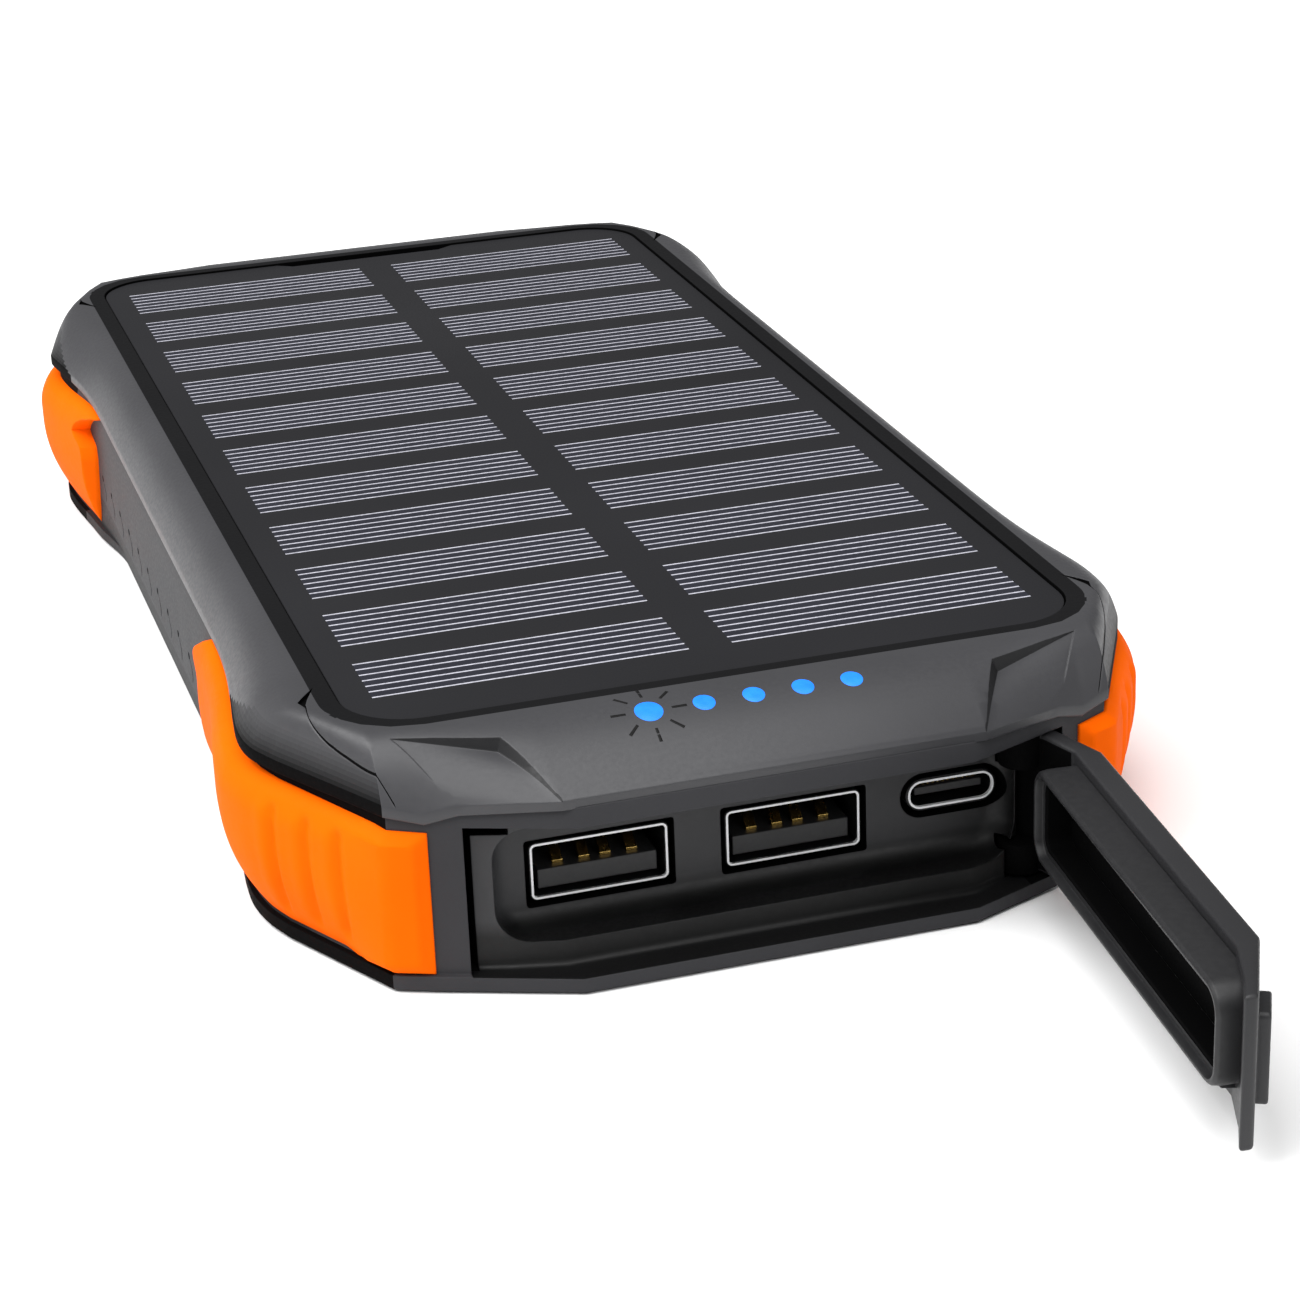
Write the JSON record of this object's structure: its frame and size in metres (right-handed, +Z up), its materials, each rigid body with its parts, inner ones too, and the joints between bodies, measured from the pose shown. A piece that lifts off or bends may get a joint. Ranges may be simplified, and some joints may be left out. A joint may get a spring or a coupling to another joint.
{
  "type": "solar phone charger",
  "caption": "Rugged flat power bank with a solar panel on top, rubber corner bumpers, indicator lights and a hinged lid over its charging sockets.",
  "frame": {"origin": "centre of the flat underside, where the body rests", "axes": "+Z up out of the solar panel, -Y towards the socket end, +X towards the lid hinge"},
  "size_m": [0.0902, 0.2239, 0.0233],
  "materials": {
    "shell_plastic": "fine-grained satin dark grey",
    "lid_plastic": "fine-grained satin dark grey",
    "bumper_rubber": "soft-touch orange elastomer",
    "panel_board": "laminate board",
    "silicon": "dark silicon",
    "silver_line": "printed silver paste",
    "panel_film": "matte clear film over dark board",
    "light_blue": "clear moulded guide, lit blue",
    "led_white": "small chip light",
    "board_green": "solder mask",
    "chip_black": "moulded package",
    "ferrite": "pressed ferrite",
    "ceramic_tan": "ceramic and can capacitors",
    "steel_plate": "nickel-plated steel",
    "socket_black": "glass-filled nylon",
    "gold": "gold-plated contact",
    "pouch_foil": "laminated foil pouch",
    "tape": "double-sided tape",
    "foam": "closed-cell foam",
    "nickel": "nickel strip",
    "wire_insulation": "wire insulation",
    "white_nylon": "connector housing",
    "seal_rubber": "black silicone",
    "pin_steel": "ground pin",
    "button_plastic": "satin black",
    "screw_steel": "black oxide"
  },
  "bodies": {
    "body": {"top_shell": "shell_plastic", "bottom_shell": "shell_plastic", "bumper_front_left": "bumper_rubber", "bumper_front_right": "bumper_rubber", "bumper_rear_left": "bumper_rubber", "bumper_rear_right": "bumper_rubber", "panel_backing": "panel_board", "solar_cells": "silicon", "cell_fingers": "silver_line", "panel_cover": "panel_film", "light_guide": "light_blue", "indicator_leds": "led_white", "main_board": "board_green", "usb_a_left_shell": "steel_plate", "usb_a_left_insulator": "socket_black", "usb_a_left_contacts": "gold", "usb_a_right_shell": "steel_plate", "usb_a_right_insulator": "socket_black", "usb_a_right_contacts": "gold", "usb_c_shell": "steel_plate", "usb_c_tongue": "socket_black", "usb_c_contacts": "gold", "controller_chips": "chip_black", "power_inductors": "ferrite", "filter_capacitors": "ceramic_tan", "battery_connector": "white_nylon", "battery_cell_lower": "pouch_foil", "battery_cell_upper": "pouch_foil", "cell_spacer_tape": "tape", "battery_tabs": "nickel", "protection_board": "board_green", "battery_leads": "wire_insulation", "panel_leads": "wire_insulation", "foam_pads": "foam", "hinge_pins": "pin_steel", "switch_body": "steel_plate", "switch_board": "board_green", "case_screws": "screw_steel"},
    "lid": {"port_lid": "lid_plastic", "lid_seal": "seal_rubber"},
    "button": {"power_button": "button_plastic", "switch_plunger": "chip_black"}
  },
  "joints": [
    {"name": "lid_hinge", "type": "hinge", "parent": "body", "child": "lid", "pos_m": [0.0254, -0.0824, 0.009], "axis": [0, 0, 1], "range_deg": [-85, 0]},
    {"name": "button_press", "type": "slide", "parent": "body", "child": "button", "axis": [-1, 0, 0], "range_m": [0, 0.0004], "stiffness_N_per_m": 1500}
  ]
}
